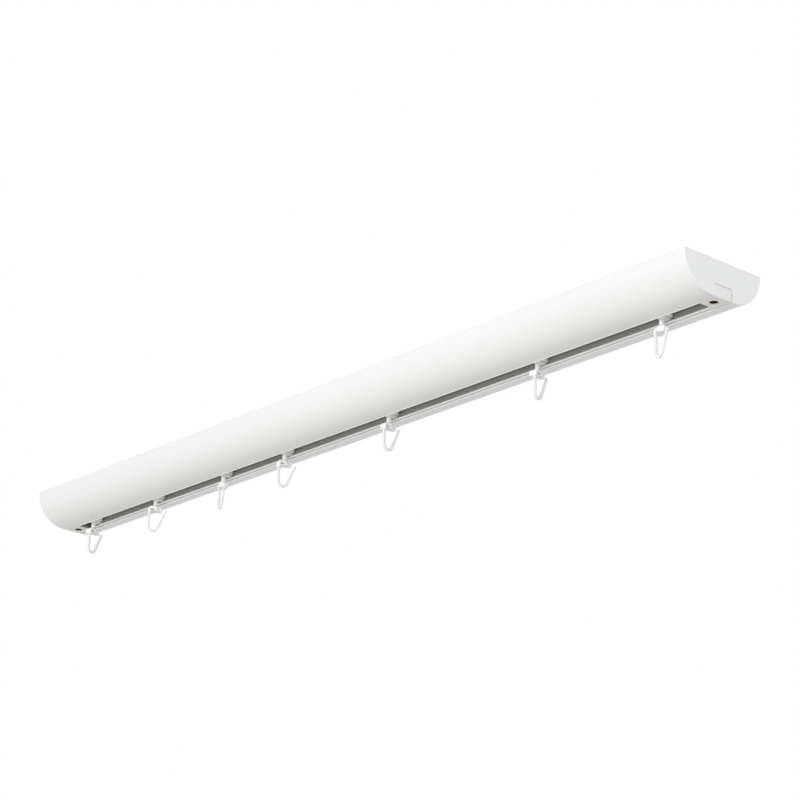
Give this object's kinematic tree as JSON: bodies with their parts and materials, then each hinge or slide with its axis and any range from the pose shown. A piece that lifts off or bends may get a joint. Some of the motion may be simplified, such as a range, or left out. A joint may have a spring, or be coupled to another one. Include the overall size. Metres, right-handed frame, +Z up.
{
  "type": "curtain track",
  "caption": "Half-round ceiling curtain track with a recessed rail, sliding runners, swivelling curtain hooks and an end stop screwed in at each end.",
  "frame": {"origin": "middle of the flat top face that lies against the ceiling", "axes": "+X along the track to its right-hand end seen from the room, +Y towards the wall behind it, +Z up to the ceiling"},
  "size_m": [0.7, 0.07, 0.0498],
  "materials": {
    "profile_lacquer": "white lacquer, satin, over a wooden core",
    "rail_metal": "white enamelled aluminium",
    "stop_plastic": "white moulded plastic",
    "screw_zinc": "yellow passivated, dulled",
    "runner_plastic": "white moulded nylon",
    "hook_plastic": "white moulded plastic, slightly glossy"
  },
  "bodies": {
    "track": {"track_profile": "profile_lacquer", "glider_rail": "rail_metal", "end_stop_left": "stop_plastic", "end_stop_right": "stop_plastic", "stop_screw_left": "screw_zinc", "stop_screw_right": "screw_zinc"},
    "runner_body_1": {"runner_1": "runner_plastic"},
    "hook_body_1": {"hook_1": "hook_plastic"},
    "runner_body_2": {"runner_2": "runner_plastic"},
    "hook_body_2": {"hook_2": "hook_plastic"},
    "runner_body_3": {"runner_3": "runner_plastic"},
    "hook_body_3": {"hook_3": "hook_plastic"},
    "runner_body_4": {"runner_4": "runner_plastic"},
    "hook_body_4": {"hook_4": "hook_plastic"},
    "runner_body_5": {"runner_5": "runner_plastic"},
    "hook_body_5": {"hook_5": "hook_plastic"},
    "runner_body_6": {"runner_6": "runner_plastic"},
    "hook_body_6": {"hook_6": "hook_plastic"},
    "runner_body_7": {"runner_7": "runner_plastic"},
    "hook_body_7": {"hook_7": "hook_plastic"}
  },
  "joints": [
    {"name": "runner_slide_1", "type": "slide", "parent": "track", "child": "runner_body_1", "axis": [1, 0, 0], "range_m": [-0.00851, 0.06478]},
    {"name": "hook_swivel_1", "type": "hinge", "parent": "runner_body_1", "child": "hook_body_1", "pos_m": [-0.32119, 0, -0.0292], "axis": [0, 0, 1], "continuous": true},
    {"name": "runner_slide_2", "type": "slide", "parent": "track", "child": "runner_body_2", "axis": [1, 0, 0], "range_m": [-0.06478, 0.06692]},
    {"name": "hook_swivel_2", "type": "hinge", "parent": "runner_body_2", "child": "hook_body_2", "pos_m": [-0.23761, 0, -0.0292], "axis": [0, 0, 1], "continuous": true},
    {"name": "runner_slide_3", "type": "slide", "parent": "track", "child": "runner_body_3", "axis": [1, 0, 0], "range_m": [-0.06692, 0.0542]},
    {"name": "hook_swivel_3", "type": "hinge", "parent": "runner_body_3", "child": "hook_body_3", "pos_m": [-0.15189, 0, -0.0292], "axis": [0, 0, 1], "continuous": true},
    {"name": "runner_slide_4", "type": "slide", "parent": "track", "child": "runner_body_4", "axis": [1, 0, 0], "range_m": [-0.0542, 0.09719]},
    {"name": "hook_swivel_4", "type": "hinge", "parent": "runner_body_4", "child": "hook_body_4", "pos_m": [-0.0789, 0, -0.0292], "axis": [0, 0, 1], "continuous": true},
    {"name": "runner_slide_5", "type": "slide", "parent": "track", "child": "runner_body_5", "axis": [1, 0, 0], "range_m": [-0.09719, 0.13042]},
    {"name": "hook_swivel_5", "type": "hinge", "parent": "runner_body_5", "child": "hook_body_5", "pos_m": [0.03709, 0, -0.0292], "axis": [0, 0, 1], "continuous": true},
    {"name": "runner_slide_6", "type": "slide", "parent": "track", "child": "runner_body_6", "axis": [1, 0, 0], "range_m": [-0.13042, 0.0931]},
    {"name": "hook_swivel_6", "type": "hinge", "parent": "runner_body_6", "child": "hook_body_6", "pos_m": [0.18631, 0, -0.0292], "axis": [0, 0, 1], "continuous": true},
    {"name": "runner_slide_7", "type": "slide", "parent": "track", "child": "runner_body_7", "axis": [1, 0, 0], "range_m": [-0.0931, 0.03149]},
    {"name": "hook_swivel_7", "type": "hinge", "parent": "runner_body_7", "child": "hook_body_7", "pos_m": [0.29821, 0, -0.0292], "axis": [0, 0, 1], "continuous": true}
  ]
}
